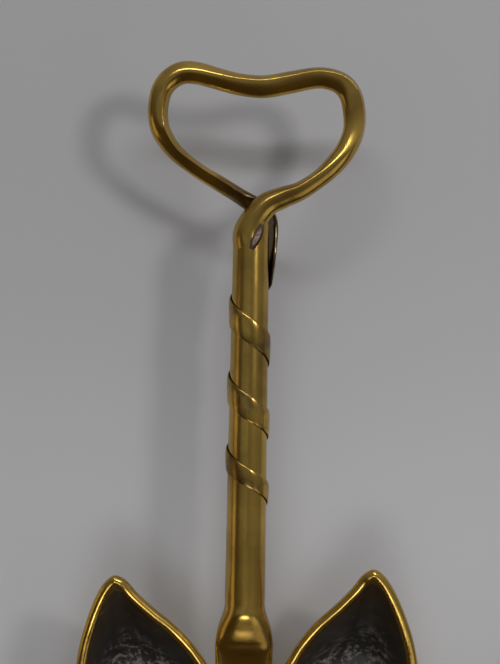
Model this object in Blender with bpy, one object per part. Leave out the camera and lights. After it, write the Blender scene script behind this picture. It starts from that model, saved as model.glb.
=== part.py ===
"""Brass hearth shovel: scooped pan, hollow stem with a palm, and a bar bent into a heart and wound on.

Units are metres, +Z is up. The shovel lies on its pan: the origin is the middle of the pan's flat
underside, the handle points along +Y and the lip along -Y.
"""
import bpy
import bmesh
from math import asin, atan2, cos, pi, radians, sin, sqrt
from mathutils import Matrix, Vector

# ---- driving dimensions -------------------------------------------------------------------------
GAP = 0.0003                 # clearance between touching pieces

PAN_WIDTH = 0.180            # across the rim at its widest
PAN_LENGTH = 0.240           # from the ears' tips to the lip
PAN_WALL = 0.0028            # thickness of floor and walls
EAR_SPAN = 0.1186            # between the ears' tips
EAR_HEIGHT = 0.052           # rim height at the ears' tips
NOTCH_HEIGHT = 0.0415        # rim height behind the palm
NOTCH_DEPTH = 0.0525         # how far the rim runs in from the ears' tips to the palm
NOTCH_LEAN = 0.0135          # how far the back wall leans out from floor to rim at the palm
NOTCH_MARGIN = 0.003         # room beside the palm in the notch
LIP_HEIGHT = 0.0036          # rim height at the lip
FILLET = 0.009               # length of the curve between floor and walls
RIM_RADIUS = 0.0025          # rounded rim at the back
LIP_RADIUS = 0.0015          # rounded edge at the lip

FOOT_FORWARD = 0.0215        # handle's foot point ahead of the notch, along +Y
FOOT_ASIDE = -0.0008         # handle's foot point beside the pan's middle line
HANDLE_YAW = radians(-2.3)   # the handle is set a little askew on the pan
HANDLE_PITCH = radians(-0.9) # and drops a little towards the loop
STEM_RISE = 0.0080           # stem's middle line above the rim at the notch

STEM_LENGTH = 0.192          # foot point to the top of the stem's mouth
STEM_TOP_RADIUS = 0.0082
STEM_FOOT_RADIUS = 0.0093
STEM_WALL = 0.0020
BORE_FLOOR = 0.018           # where the stem's bore ends, above the foot point
SPIGOT_LENGTH = 0.040        # length of the bar inside the stem
SEAM_DROP = 0.009            # the mouth is cut at a slant, this far down on its -X side
SEAM_NORMAL = (-1.23, 1.0, 1.70)
ROOT_DROP = 0.020            # bar's root swells to the stem's width this far below the mouth
FOOT_WIDTH = 0.0265
FOOT_THICKNESS = 0.0135
PALM_WIDTH = 0.021
PALM_THICKNESS = 0.0042
PALM_DROP = 0.033            # how far the palm reaches down the back wall, below the rim

LOOP_WIDTH = 0.090           # heart, between the bar's middle lines
LOOP_HEIGHT = 0.058          # heart's low point to its shoulders, between middle lines
LOOP_RISE = 0.0085           # heart's low point above the stem's mouth
BAR_DIAMETER = 0.0105
BAR_WALL = 0.0019            # the bar is a tube as far as the hammered part
BAR_LOWER_WIDTH = 0.0083     # bar on the lower right, where it is drawn thinner
ROOT_WIDTH = 0.0114          # bar where it sweeps into the stem

BAND_WIDTH = 0.0106          # tail wound on the stem
BAND_END_WIDTH = 0.0070
BAND_THICKNESS = 0.0011
BAND_TOP = 0.142             # first front crossing, above the foot point
BAND_PITCH = (0.0353, 0.0314)  # drop from the first crossing to the second, and to the third
BAND_START_TURN = -0.62      # where the tail meets the stem, in turns from the first crossing
BAND_END_TURN = 0.42         # turns past the last crossing

PIT_LENGTH = 0.0150
PIT_WIDTH = 0.0042
PIT_DEPTH = 0.0015
FILLER_DROP = 0.55           # middle of the filler below the surface, as a share of the pit's depth
PIT_LEAN = radians(26.6)     # pit's long axis, leaning towards +X
PIT_ASIDE = 0.0028           # pit's middle, beside the stem's middle line and below its mouth
PIT_DROP = 0.0072

RIVET_RADIUS = 0.0023
RIVET_HEAD_RADIUS = 0.0043
RIVET_HEAD_HEIGHT = 0.0019
RIVET_DROP = 0.0145          # upper rivet below the rim
RIVET_SPACING = 0.0125
RIVET_HOLE_REACH = 0.010     # the drill goes this far each way from the wall's face

# ---- derived places -----------------------------------------------------------------------------
HALF_WIDTH = PAN_WIDTH / 2
TIP_Y = 0.58 * PAN_LENGTH                 # keeps the origin near the middle of the flat underside
NOTCH_Y = TIP_Y - NOTCH_DEPTH             # rim behind the palm
FOOT = Vector((FOOT_ASIDE, NOTCH_Y + FOOT_FORWARD, NOTCH_HEIGHT + STEM_RISE))
BORE_RADIUS = STEM_TOP_RADIUS - STEM_WALL
SPIGOT_RADIUS = BORE_RADIUS - GAP
HANDLE = (Matrix.Translation(FOOT)
          @ Matrix.Rotation(HANDLE_YAW, 4, "Z") @ Matrix.Rotation(HANDLE_PITCH, 4, "X"))
WALL_UP = Vector((0, NOTCH_LEAN, NOTCH_HEIGHT)).normalized()   # up the back wall at the palm
WALL_OUT = Vector((0, WALL_UP.z, -WALL_UP.y))                  # out of the back wall at the palm
WALL_FOOT = Vector((0, NOTCH_Y - NOTCH_LEAN, 0))

RING = 16                    # corners of a bar's section
LEAD_ROWS = 6                # the tail's rows before it meets the stem
STEM_RING = 32
ROD_RING = 24
RIVET_RING = 20
BLOCK_SIZE = 0.06            # cutting blocks are larger than anything they cut


# ---- helpers ------------------------------------------------------------------------------------
def clear_scene():
    for obj in list(bpy.data.objects):
        bpy.data.objects.remove(obj, do_unlink=True)


def brass(name, colour, roughness, metallic=1.0):
    material = bpy.data.materials.new(name)
    material.use_nodes = True
    shader = material.node_tree.nodes["Principled BSDF"]
    shader.inputs["Base Color"].default_value = (*colour, 1)
    shader.inputs["Roughness"].default_value = roughness
    shader.inputs["Metallic"].default_value = metallic
    return material


def add_object(name, bm, material, parent=None, smooth_angle=40):
    if bm.calc_volume(signed=True) < 0:
        bmesh.ops.reverse_faces(bm, faces=bm.faces[:])
    mesh = bpy.data.meshes.new(name)
    bm.to_mesh(mesh)
    bm.free()
    mesh.shade_smooth()
    mesh.set_sharp_from_angle(angle=radians(smooth_angle))
    mesh.materials.append(material)
    obj = bpy.data.objects.new(name, mesh)
    bpy.context.collection.objects.link(obj)
    obj.parent = parent
    return obj


def add_cutter(name, bm, parent=None):
    if bm.calc_volume(signed=True) < 0:
        bmesh.ops.reverse_faces(bm, faces=bm.faces[:])
    mesh = bpy.data.meshes.new(name)
    bm.to_mesh(mesh)
    bm.free()
    obj = bpy.data.objects.new(name, mesh)
    bpy.context.collection.objects.link(obj)
    obj.parent = parent
    obj.hide_render = True
    obj.display_type = "WIRE"
    return obj


def boolean(obj, cutter, operation="DIFFERENCE"):
    modifier = obj.modifiers.new(cutter.name, "BOOLEAN")
    modifier.operation = operation
    modifier.solver = "EXACT"
    modifier.object = cutter


def catmull(points, steps, closed=False):
    """Points on a smooth curve through the given points, which may hold any numbers."""
    count = len(points)
    spans = count if closed else count - 1
    curve = []
    for i in range(spans):
        if closed:
            p0, p1, p2, p3 = (points[(i + k) % count] for k in (-1, 0, 1, 2))
        else:
            p0, p1, p2, p3 = (points[min(max(i + k, 0), count - 1)] for k in (-1, 0, 1, 2))
        for s in range(steps):
            t = s / steps
            curve.append(tuple(
                0.5 * (2 * b + (c - a) * t + (2 * a - 5 * b + 4 * c - d) * t * t
                       + (3 * b - a - 3 * c + d) * t ** 3)
                for a, b, c, d in zip(p0, p1, p2, p3)))
    if not closed:
        curve.append(tuple(points[-1]))
    return curve


def skin(rings):
    """A closed body from rings of points: quads between them and a face on each end."""
    bm = bmesh.new()
    loops = [[bm.verts.new(point) for point in ring] for ring in rings]
    size = len(loops[0])
    for low, high in zip(loops, loops[1:]):
        for k in range(size):
            bm.faces.new((low[k], low[(k + 1) % size], high[(k + 1) % size], high[k]))
    bm.faces.new(reversed(loops[0]))
    bm.faces.new(loops[-1])
    return bm


def section(centre, across, through, half_width, half_thickness, corners, squareness=1.0):
    """An oval ring; squareness under 1 flattens its long faces."""
    ring = []
    for k in range(corners):
        angle = 2 * pi * k / corners
        c, s = cos(angle), sin(angle)
        x = abs(c) ** squareness * (1 if c >= 0 else -1)
        z = abs(s) ** squareness * (1 if s >= 0 else -1)
        ring.append(centre + across * half_width * x + through * half_thickness * z)
    return ring


def block(face, outward):
    """A cutting block that stands on a point and reaches out along the given direction."""
    bm = bmesh.new()
    bmesh.ops.create_cube(bm, size=BLOCK_SIZE)
    turn = outward.to_track_quat("Z", "Y").to_matrix().to_4x4()
    bm.transform(Matrix.Translation(face + outward * BLOCK_SIZE / 2) @ turn)
    return bm


# ---- pan ----------------------------------------------------------------------------------------
def pan_outline():
    """Floor edge and rim side by side, from the notch round the +X ear to the middle of the lip.

    Each row is floor x, floor y, rim x, rim y, rim z and rim radius.
    """
    notch, ear = PALM_WIDTH / 2 + NOTCH_MARGIN, EAR_SPAN / 2
    floor_y = NOTCH_Y - NOTCH_LEAN
    rows = [(0, floor_y, 0, NOTCH_Y, NOTCH_HEIGHT, RIM_RADIUS),
            (0.55 * notch, floor_y, 0.55 * notch, NOTCH_Y, NOTCH_HEIGHT, RIM_RADIUS),
            (1.07 * notch, floor_y + 0.0015, notch, NOTCH_Y + 0.0015, NOTCH_HEIGHT, RIM_RADIUS)]
    # from the notch to the ear's tip, in shares of that distance, then the rim's height
    notch_to_tip = [(0.19, 0.13, 0.105, 0.19, 0.818), (0.36, 0.27, 0.23, 0.36, 0.843),
                    (0.52, 0.36, 0.41, 0.54, 0.876), (0.67, 0.43, 0.61, 0.695, 0.920),
                    (0.775, 0.467, 0.775, 0.84, 0.962), (0.86, 0.476, 0.885, 0.955, 0.990)]
    for floor_x, floor_in, rim_x, rim_in, height in notch_to_tip:
        rows.append((notch + floor_x * (ear - notch), floor_y + floor_in * NOTCH_DEPTH,
                     notch + rim_x * (ear - notch), NOTCH_Y + rim_in * NOTCH_DEPTH,
                     height * EAR_HEIGHT, RIM_RADIUS))
    # from the tip round the corner: shares of the way out to the side, and back from the tip
    tip_to_side = [(-0.075, 0.80, 0, 0, 1.0), (0.055, 0.84, 0.153, 0.057, 0.994),
                   (0.186, 0.905, 0.30, 0.19, 0.975), (0.332, 1.01, 0.456, 0.41, 0.942),
                   (0.44, 1.16, 0.593, 0.686, 0.896), (0.511, 1.43, 0.684, 1.067, 0.827)]
    for floor_x, floor_back, rim_x, rim_back, height in tip_to_side:
        rows.append((ear + floor_x * (HALF_WIDTH - ear), TIP_Y - floor_back * NOTCH_DEPTH,
                     ear + rim_x * (HALF_WIDTH - ear), TIP_Y - rim_back * NOTCH_DEPTH,
                     height * EAR_HEIGHT, RIM_RADIUS))
    # along the side and round to the lip: shares of the half width and of the length
    side_to_lip = [(0.856, 0.372, 0.920, 0.324, 0.750), (0.889, 0.504, 0.956, 0.484, 0.606),
                   (0.917, 0.652, 0.987, 0.644, 0.452), (0.917, 0.776, 1.0, 0.784, 0.308),
                   (0.883, 0.856, 0.978, 0.884, 0.202), (0.778, 0.908, 0.878, 0.948, 0.135),
                   (0.589, 0.940, 0.667, 0.984, 0.096), (0.300, 0.954, 0.333, 0.998, 0.077)]
    for floor_x, floor_back, rim_x, rim_back, height in side_to_lip:
        radius = LIP_RADIUS + (RIM_RADIUS - LIP_RADIUS) * min(1, 1.6 * (1 - rim_back))
        rows.append((floor_x * HALF_WIDTH, TIP_Y - floor_back * PAN_LENGTH,
                     rim_x * HALF_WIDTH, TIP_Y - rim_back * PAN_LENGTH,
                     height * EAR_HEIGHT, radius))
    rows.append((0, TIP_Y - 0.958 * PAN_LENGTH, 0, TIP_Y - PAN_LENGTH, LIP_HEIGHT, LIP_RADIUS))
    return rows


def pan_rows(steps=2):
    """The whole outline as a smooth closed curve, the -X half mirrored from the +X one."""
    half = pan_outline()
    mirrored = [(-fx, fy, -rx, ry, rz, radius) for fx, fy, rx, ry, rz, radius in half[-2:0:-1]]
    return catmull(half + mirrored, steps, closed=True)


def wall_curve(floor_edge, outward, rim):
    """Outer side of the wall: a curve out of the floor, then straight up to the rim."""
    rise = rim - floor_edge
    bend = min(FILLET, 0.45 * rise.length)
    start = floor_edge - outward * bend
    end = floor_edge + rise.normalized() * bend
    points = []
    for k in range(4):
        t = k / 3
        points.append(start * (1 - t) ** 2 + floor_edge * 2 * t * (1 - t) + end * t * t)
    points.append((end + rim) / 2)
    points.append(rim)
    return points


def pan_body():
    rows = pan_rows()
    count = len(rows)
    outer = []
    for i, row in enumerate(rows):
        before, after = rows[i - 1], rows[(i + 1) % count]
        along = Vector((after[0] - before[0], after[1] - before[1], 0)).normalized()
        outward = Vector((-along.y, along.x, 0))
        outer.append(wall_curve(Vector((row[0], row[1], 0)), outward, Vector(row[2:5])))
    rings = []
    for i, column in enumerate(outer):
        before, after = outer[i - 1], outer[(i + 1) % count]
        inner = []
        for k, point in enumerate(column):
            along = after[k] - before[k]
            up = column[min(k + 1, len(column) - 1)] - column[max(k - 1, 0)]
            normal = Vector((0, 0, 1)) if k == 0 else along.cross(up).normalized()
            inner.append(point + normal * PAN_WALL)
        radius = rows[i][5]
        up = (column[-1] - column[-2]).normalized()
        normal = (inner[-1] - column[-1]).normalized()
        middle = column[-1] + normal * radius
        rim = []
        for k in range(1, 8):
            angle = radians(28 * k)
            rim.append(middle + radius * (up * sin(angle) - normal * cos(angle)))
        neck = column[-1].lerp(column[-2], min(0.9, 2.2 * radius / (column[-1] - column[-2]).length))
        inner[-1] = neck + normal * PAN_WALL
        rings.append(column + rim + inner[::-1])
    bm = bmesh.new()
    loops = [[bm.verts.new(point) for point in ring] for ring in rings]
    for low, high in zip(loops, loops[1:] + loops[:1]):
        for k in range(len(low) - 1):
            bm.faces.new((low[k], low[k + 1], high[k + 1], high[k]))
    bm.faces.new([loop[0] for loop in loops])
    bm.faces.new([loop[-1] for loop in reversed(loops)])
    bmesh.ops.triangulate(bm, faces=[face for face in bm.faces if len(face.verts) > 4])
    return bm


# ---- stem ---------------------------------------------------------------------------------------
def stem_radius(y):
    share = min(max(y / STEM_LENGTH, 0), 1)
    return STEM_FOOT_RADIUS + (STEM_TOP_RADIUS - STEM_FOOT_RADIUS) * share ** 1.3


def palm_line():
    """Middle of the palm's plate in the handle's frame, from the rim down the back wall."""
    to_handle = HANDLE.inverted()
    off = PALM_THICKNESS / 2 + GAP
    points = []
    for share in (0.25, 0.6, 1.0):
        height = NOTCH_HEIGHT - PALM_DROP * share
        on_wall = WALL_FOOT + WALL_UP * (height / WALL_UP.z)
        on_wall.x = FOOT.x
        points.append(to_handle @ (on_wall + WALL_OUT * off))
    return points


def stem_stations():
    """Rows of y, z, half width, half thickness and squareness, from the mouth to the palm's end."""
    rows = []
    for y in (STEM_LENGTH, 0.83 * STEM_LENGTH, 0.6 * STEM_LENGTH, 0.35 * STEM_LENGTH,
              0.18 * STEM_LENGTH, 0.021, 0.016):
        rows.append((y, 0, stem_radius(y), stem_radius(y), 1.0))
    wide, thick = FOOT_WIDTH / 2, FOOT_THICKNESS / 2
    narrow = STEM_FOOT_RADIUS
    rows.append((0.0115, 0, narrow + 0.25 * (wide - narrow), narrow, 0.97))
    rows.append((0.0065, 0, narrow + 0.68 * (wide - narrow), 0.5 * (narrow + thick), 0.94))
    rows.append((0.0005, -0.0003, narrow + 0.95 * (wide - narrow), thick, 0.9))
    rows.append((-0.0050, -0.0020, wide, 0.82 * thick, 0.86))
    plate = palm_line()
    bend = plate[0] + Vector((0, 0.0035, 0.0062))
    rows.append((bend.y, bend.z, 0.96 * wide, 0.62 * thick, 0.82))
    half = PALM_WIDTH / 2
    for point, share in zip(plate, (1.0, 0.98, 0.82)):
        rows.append((point.y, point.z, share * half, PALM_THICKNESS / 2, 0.6))
    return rows


def stem_body():
    rows = catmull(stem_stations(), 2)
    across = Vector((1, 0, 0))
    rings = []
    for i, (y, z, half_width, half_thickness, squareness) in enumerate(rows):
        before, after = rows[max(i - 1, 0)], rows[min(i + 1, len(rows) - 1)]
        along = Vector((0, after[0] - before[0], after[1] - before[1])).normalized()
        through = across.cross(along)
        rings.append(section(Vector((0, y, z)), across, through, half_width, half_thickness,
                             STEM_RING, squareness))
    return skin(rings)


def mouth_plane():
    """A point and the upward normal of the slanted seam between stem and bar."""
    point = Vector((-STEM_TOP_RADIUS, STEM_LENGTH - SEAM_DROP, 0))
    return point, Vector(SEAM_NORMAL).normalized()


def below_mouth():
    """The stem's own space at the mouth, with its clearance: below the seam and the stem's end."""
    point, normal = mouth_plane()
    bm = turned(STEM_TOP_RADIUS + 3 * GAP, STEM_LENGTH - ROOT_DROP - 2 * GAP, STEM_LENGTH + GAP)
    geometry = bm.verts[:] + bm.edges[:] + bm.faces[:]
    bmesh.ops.bisect_plane(bm, geom=geometry, plane_co=point + normal * GAP, plane_no=normal,
                           clear_outer=True)
    bmesh.ops.holes_fill(bm, edges=[edge for edge in bm.edges if edge.is_boundary])
    return bm


def turned(radius, start, end):
    """A round rod along Y."""
    rings = [section(Vector((0, y, 0)), Vector((1, 0, 0)), Vector((0, 0, 1)), radius, radius, ROD_RING)
             for y in (start, end)]
    return skin(rings)


# ---- bar ----------------------------------------------------------------------------------------
def root_rows():
    """The bar's root, flush with the stem, then turning out of its mouth."""
    full = 2 * STEM_TOP_RADIUS
    return [(0, STEM_LENGTH - ROOT_DROP, 0, 0.96 * full, 0.96 * full, 0, 0, 1, 1.0),
            (0, STEM_LENGTH - 0.0125, 0, 0.99 * full, 0.99 * full, 0, 0, 1, 1.0),
            (-0.0010, STEM_LENGTH - 0.004, 0.0010, 0.0140, 0.0142, 0, 0, 1, 0.97)]


def heart_rows():
    """The heart from the stem to the lower left: x, y, z, width, depth, inner face, squareness.

    x is a share of the loop's half width and y a share of its height above the heart's low point.
    """
    half, height, base = LOOP_WIDTH / 2, LOOP_HEIGHT, STEM_LENGTH + LOOP_RISE
    thick, lower, root = BAR_DIAMETER, BAR_LOWER_WIDTH, ROOT_WIDTH
    shape = [(0.130, -0.028, 0.0030, root, 0.0104), (0.32, 0.048, 0.0032, 0.0100, 0.0100),
             (0.49, 0.100, 0.0030, 0.0087, 0.0098), (0.685, 0.203, 0.0024, lower, 0.0096),
             (0.835, 0.315, 0.0018, 0.875 * thick, 0.0096), (0.952, 0.437, 0.0012, 0.90 * thick, thick),
             (1.027, 0.58, 0.0006, 0.94 * thick, thick), (1.035, 0.725, 0, thick, thick),
             (0.995, 0.87, 0, thick, thick), (0.90, 0.962, 0, 0.98 * thick, thick),
             (0.75, 1.003, 0, 0.94 * thick, thick), (0.60, 1.003, 0, 0.94 * thick, thick),
             (0.36, 0.965, 0, 0.98 * thick, thick), (0.10, 0.93, 0, thick, thick),
             (-0.15, 0.945, 0, 0.97 * thick, thick), (-0.36, 0.985, -0.0002, 0.95 * thick, thick),
             (-0.57, 1.028, -0.0006, 0.98 * thick, thick), (-0.73, 1.032, -0.0010, thick, thick),
             (-0.86, 0.978, -0.0014, 0.98 * thick, thick), (-0.94, 0.893, -0.0018, 0.94 * thick, thick),
             (-0.975, 0.77, -0.0024, 0.90 * thick, thick), (-0.972, 0.65, -0.0030, 0.87 * thick, thick),
             (-0.925, 0.54, -0.0036, 0.83 * thick, 0.0098), (-0.795, 0.405, -0.0046, 0.0076, 0.0088)]
    return [(x * half, base + y * height, z, wide, deep, 0, 0, 1, 0.9)
            for x, y, z, wide, deep in shape]


def band_angle(turn):
    return pi / 2 - 2 * pi * turn


def band_height(turn):
    """Height of the tail's middle above the foot point, by turns from its first front crossing."""
    first, second = BAND_PITCH
    if turn < 1:
        return BAND_TOP - first * turn
    return BAND_TOP - first - second * (turn - 1)


def tail_rows():
    """The bar hammered flat: past the heart's low point, beside the stem, then wound round it.

    The first rows lead from the heart to the stem, and the rest follow the stem's surface.
    """
    half, height, base = LOOP_WIDTH / 2, LOOP_HEIGHT, STEM_LENGTH + LOOP_RISE
    clear = STEM_TOP_RADIUS + GAP
    start = band_height(BAND_START_TURN)
    rows = [(-0.56 * half, base + 0.265 * height, -0.0058, 0.0068, 0.0074, -0.2, -0.3, 0.93, 0.8),
            (-0.35 * half, base + 0.17 * height, -0.0070, 0.0074, 0.0056, -0.37, -0.56, 0.74, 0.7),
            (-0.13 * half, base + 0.07 * height, -0.0088, 0.0080, 0.0042, -0.42, -0.64, 0.64, 0.6),
            (0.0045, STEM_LENGTH + 0.0062, -0.0118, 0.0092, 0.0032, -0.35, -0.25, 0.90, 0.55),
            (clear + 0.0010, STEM_LENGTH - 0.0010, -0.0074, 0.0092, 0.0024, -0.80, -0.2, 0.56, 0.55),
            (clear + 0.0007, start + 0.0125, -0.0044, 0.0100, 0.0018, -0.91, 0, 0.40, 0.55)]
    last = len(BAND_PITCH) + BAND_END_TURN
    steps = 64
    for k in range(steps + 1):
        turn = BAND_START_TURN + (last - BAND_START_TURN) * k / steps
        angle, y = band_angle(turn), band_height(turn)
        reach = stem_radius(y) + GAP + BAND_THICKNESS / 2
        taper = min(1, (last - turn) / 1.4)
        width = BAND_END_WIDTH + (BAND_WIDTH - BAND_END_WIDTH) * taper
        if k == steps:
            width *= 0.45
        rows.append((reach * cos(angle), y, reach * sin(angle), width, BAND_THICKNESS,
                     -cos(angle), 0, -sin(angle), 0.55))
    return rows


def bar_rings(rows, wound_from):
    """Sections along the bar; from the given row on, they are bent round the stem."""
    rings = []
    for i, row in enumerate(rows):
        before, after = rows[max(i - 1, 0)], rows[min(i + 1, len(rows) - 1)]
        centre = Vector(row[:3])
        along = (Vector(after[:3]) - Vector(before[:3])).normalized()
        face = Vector(row[5:8])
        through = (face - along * face.dot(along)).normalized()
        across = along.cross(through)
        ring = section(centre, across, through, row[3] / 2, row[4] / 2, RING, row[8])
        if i >= wound_from:
            ring = [wrap_point(point, (point - centre).dot(through)) for point in ring]
        rings.append(ring)
    return rings


def wrap_point(point, inward):
    """Bends a flat section round the stem, so that the tail's inner face keeps its gap."""
    reach = stem_radius(point.y) + GAP + BAND_THICKNESS / 2 - inward
    angle = atan2(point.z, point.x)
    return Vector((reach * cos(angle), point.y, reach * sin(angle)))


def bar_body():
    lead = LEAD_ROWS + 1
    tail = tail_rows()
    free = catmull(root_rows() + heart_rows() + tail[:lead], 2)
    rows = free + tail[lead:]
    return skin(bar_rings(rows, len(free) - 1))


def bar_bore():
    """The hollow in the bar: from the spigot's open end round the heart to the flattened part."""
    inner = 2 * (SPIGOT_RADIUS - BAR_WALL)
    rows = [(0, STEM_LENGTH - SPIGOT_LENGTH - 0.002, 0, inner, inner, 0, 0, 1, 1.0),
            (0, STEM_LENGTH - ROOT_DROP, 0, inner, inner, 0, 0, 1, 1.0)]
    for x, y, z, wide, deep, *rest in root_rows()[-1:] + heart_rows():
        rows.append((x, y, z, wide - 2 * BAR_WALL, deep - 2 * BAR_WALL, *rest))
    return skin(bar_rings(rows, len(rows)))


# ---- pit and filler -----------------------------------------------------------------------------
def pit_frame():
    """On the stem's front, just beside the seam, with z out of the surface."""
    angle = asin(PIT_ASIDE / STEM_TOP_RADIUS)
    middle = Vector((PIT_ASIDE, STEM_LENGTH - PIT_DROP, STEM_TOP_RADIUS * cos(angle)))
    turn = Matrix.Rotation(angle, 4, "Y") @ Matrix.Rotation(-PIT_LEAN, 4, "Z")
    return Matrix.Translation(middle) @ turn


def lens(half_width, half_length, half_depth, drop):
    """A lens-shaped solid in the pit's frame, its middle the given drop under the surface."""
    bm = bmesh.new()
    bmesh.ops.create_uvsphere(bm, u_segments=16, v_segments=10, radius=1)
    size = Matrix.Diagonal((half_width, half_length, half_depth, 1))
    bm.transform(pit_frame() @ Matrix.Translation((0, 0, -drop)) @ size)
    return bm


def pit_body():
    return lens(PIT_WIDTH / 2, PIT_LENGTH / 2, PIT_DEPTH, 0)


def filler_body():
    """Fills the pit's bottom: its width is the pit's at that depth, less the gap."""
    share = sqrt(1 - FILLER_DROP ** 2)
    thick = (1 - FILLER_DROP) * PIT_DEPTH - 0.5 * GAP
    return lens(share * PIT_WIDTH / 2 - GAP, share * PIT_LENGTH / 2 - 2 * GAP, thick,
                FILLER_DROP * PIT_DEPTH)


# ---- rivets -------------------------------------------------------------------------------------
def rivet_places():
    top = NOTCH_HEIGHT - RIVET_DROP
    lean = HANDLE.to_3x3() @ Vector((0, 1, 0))
    places = []
    for drop in (0, RIVET_SPACING):
        on_wall = WALL_FOOT + WALL_UP * ((top - drop) / WALL_UP.z)
        on_wall.x = FOOT.x + lean.x * (on_wall.y - FOOT.y)
        places.append(on_wall)
    return places


def revolve(profile, place):
    """A turned body: profile rows of radius and height out of the back wall."""
    side = Vector((1, 0, 0))
    up = WALL_OUT.cross(side)
    rings = [section(place + WALL_OUT * height, side, up, radius, radius, RIVET_RING)
             for radius, height in profile]
    return skin(rings)


def rivet_profile():
    outer = PALM_THICKNESS + 3 * GAP
    inner = -(PAN_WALL + GAP)
    tall, wide = RIVET_HEAD_HEIGHT, RIVET_HEAD_RADIUS
    return [(0.35 * wide, inner - tall), (0.75 * wide, inner - 0.75 * tall), (wide, inner - 0.2 * tall),
            (wide, inner), (RIVET_RADIUS, inner), (RIVET_RADIUS, outer), (wide, outer),
            (wide, outer + 0.2 * tall), (0.75 * wide, outer + 0.75 * tall), (0.35 * wide, outer + tall)]


def rivet_hole(place):
    return revolve([(RIVET_RADIUS + GAP, -RIVET_HOLE_REACH), (RIVET_RADIUS + GAP, RIVET_HOLE_REACH)], place)


# ---- assembly -----------------------------------------------------------------------------------
def build():
    clear_scene()
    handle = bpy.data.objects.new("handle_axis", None)
    bpy.context.collection.objects.link(handle)
    handle.matrix_world = HANDLE

    holes = [add_cutter(f"rivet_hole_{k}", rivet_hole(place)) for k, place in enumerate(rivet_places())]

    pan = add_object("pan", pan_body(), brass("pan_brass", (0.20, 0.14, 0.06), 0.45))
    for hole in holes:
        boolean(pan, hole)

    stem_brass = brass("stem_brass", (0.45, 0.33, 0.13), 0.22)
    stem = add_object("stem_tube", stem_body(), stem_brass, handle)
    bore = add_cutter("stem_bore", turned(BORE_RADIUS, BORE_FLOOR, STEM_LENGTH + 0.01), handle)
    mouth_cut = add_cutter("mouth_cut", block(*mouth_plane()), handle)
    pit_cut = add_cutter("pit_cut", pit_body(), handle)
    wall_middle = WALL_FOOT + WALL_UP * (NOTCH_HEIGHT - PALM_DROP / 2)
    wall_cut = add_cutter("wall_cut", block(wall_middle + WALL_OUT * GAP, -WALL_OUT))
    for cutter in (bore, mouth_cut, pit_cut, wall_cut, *holes):
        boolean(stem, cutter)

    bar = add_object("loop_bar", bar_body(), brass("bar_brass", (0.50, 0.37, 0.15), 0.22), handle)
    stem_space = add_cutter("stem_space", below_mouth(), handle)
    spigot = add_cutter("spigot", turned(SPIGOT_RADIUS, STEM_LENGTH - SPIGOT_LENGTH,
                                         STEM_LENGTH + 0.001), handle)
    boolean(bar, stem_space)
    boolean(bar, spigot, "UNION")
    boolean(bar, add_cutter("bar_bore", bar_bore(), handle))
    boolean(bar, pit_cut)

    filler = brass("filler", (0.55, 0.42, 0.38), 0.85, metallic=0.0)
    add_object("mouth_filler", filler_body(), filler, handle)

    rivet_brass = brass("rivet_brass", (0.42, 0.31, 0.14), 0.35)
    for name, place in zip(("upper_rivet", "lower_rivet"), rivet_places()):
        add_object(name, revolve(rivet_profile(), place), rivet_brass)


build()
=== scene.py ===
"""Hearth shovel in old polished brass: scooped pan, hollow stem and a bar bent into a heart and wound on.

The shovel lies on its pan on a pale floor and is seen from straight above, from the ears up to the loop.
"""
from math import asin, atan2, cos, pi, radians, sin, sqrt

import bmesh
import bpy
from mathutils import Matrix, Vector


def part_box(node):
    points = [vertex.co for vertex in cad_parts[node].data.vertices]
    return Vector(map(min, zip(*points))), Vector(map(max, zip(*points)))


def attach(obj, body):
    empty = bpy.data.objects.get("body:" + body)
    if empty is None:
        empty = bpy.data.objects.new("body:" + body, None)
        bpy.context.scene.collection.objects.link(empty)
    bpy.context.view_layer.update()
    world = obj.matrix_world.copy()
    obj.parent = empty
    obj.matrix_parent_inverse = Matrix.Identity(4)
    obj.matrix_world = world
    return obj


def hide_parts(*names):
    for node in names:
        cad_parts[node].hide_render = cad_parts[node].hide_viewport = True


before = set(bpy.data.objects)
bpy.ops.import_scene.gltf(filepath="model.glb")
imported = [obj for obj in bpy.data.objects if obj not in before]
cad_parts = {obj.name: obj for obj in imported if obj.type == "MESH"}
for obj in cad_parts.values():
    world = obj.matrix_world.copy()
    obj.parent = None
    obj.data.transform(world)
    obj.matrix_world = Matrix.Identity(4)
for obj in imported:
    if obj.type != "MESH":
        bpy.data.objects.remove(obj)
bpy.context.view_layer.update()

# ---- sizes, as the frame has them ---------------------------------------------------------------
PAN_HALF_WIDTH = 0.090
PAN_LENGTH = 0.240
PAN_WALL = 0.0028
EAR_SPAN = 0.1186            # between the ears' tips
EAR_HEIGHT = 0.052
TIP_Y = 0.58 * PAN_LENGTH
NOTCH_DEPTH = 0.0525         # how far the back edge dips between the ears
NOTCH_HEIGHT = 0.0415
NOTCH_Y = TIP_Y - NOTCH_DEPTH
NOTCH_LEAN = 0.0135          # how far the back wall leans out over its height
NOTCH_MARGIN = 0.003         # room on each side of the palm
FLOOR_BACK_Y = NOTCH_Y - NOTCH_LEAN
LIP_HEIGHT = 0.0036
FILLET = 0.009               # length of the curve between floor and walls
RIM_RADIUS = 0.0025
LIP_RADIUS = 0.0015

STEM_LENGTH = 0.192
STEM_TOP_RADIUS = 0.0082
STEM_FOOT_RADIUS = 0.0093
STEM_CORNERS = 56
FOOT_WIDTH = 0.0265
FOOT_THICKNESS = 0.0135
PALM_WIDTH = 0.021
PALM_THICKNESS = 0.0042
PALM_DROP = 0.033

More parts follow.
